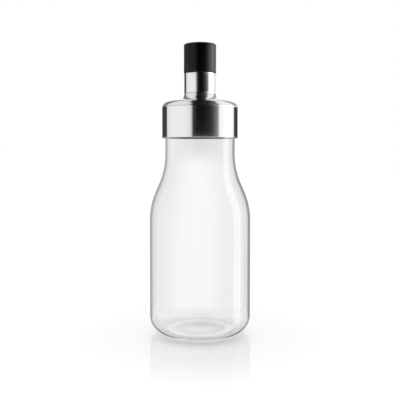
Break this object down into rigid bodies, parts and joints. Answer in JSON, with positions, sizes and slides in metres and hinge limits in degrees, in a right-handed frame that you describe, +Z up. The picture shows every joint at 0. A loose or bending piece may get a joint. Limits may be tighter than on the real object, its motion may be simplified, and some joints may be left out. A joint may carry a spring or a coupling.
{
  "type": "salad dressing shaker bottle",
  "caption": "Clear glass dressing shaker with a narrowed neck, a polished steel screw lid with a pouring spout, and a black pull-off cap.",
  "frame": {"origin": "centre of the foot, on the surface that the bottle stands on", "axes": "+Z up along the axis of the bottle, from the foot to the cap; X and Y across, all directions alike"},
  "size_m": [0.07, 0.07, 0.1993],
  "materials": {
    "glass": "clear blown borosilicate glass, fire-polished",
    "polished_steel": "mirror-polished stainless steel",
    "cap_plastic": "satin black",
    "insert_plastic": "fine moulded matt, black",
    "clear_silicone": "soft, milky",
    "black_silicone": "soft, matt"
  },
  "bodies": {
    "bottle": {"glass_bottle": "glass"},
    "gasket": {"neck_gasket": "clear_silicone"},
    "lid": {"lid_shell": "polished_steel", "thread_insert": "insert_plastic", "pourer_seal": "clear_silicone", "pourer": "insert_plastic", "cap_ring": "black_silicone"},
    "cap": {"cap_shell": "cap_plastic", "cap_stopper": "black_silicone"}
  },
  "joints": [
    {"name": "lid_lift", "type": "slide", "parent": "bottle", "child": "gasket", "axis": [0, 0, 1], "range_m": [0, 0.06]},
    {"name": "lid_turn", "type": "hinge", "parent": "gasket", "child": "lid", "pos_m": [0, 0, 0.1568], "axis": [0, 0, 1], "range_deg": [0, 360]},
    {"name": "cap_pull", "type": "slide", "parent": "lid", "child": "cap", "axis": [0, 0, 1], "range_m": [0, 0.03]}
  ]
}
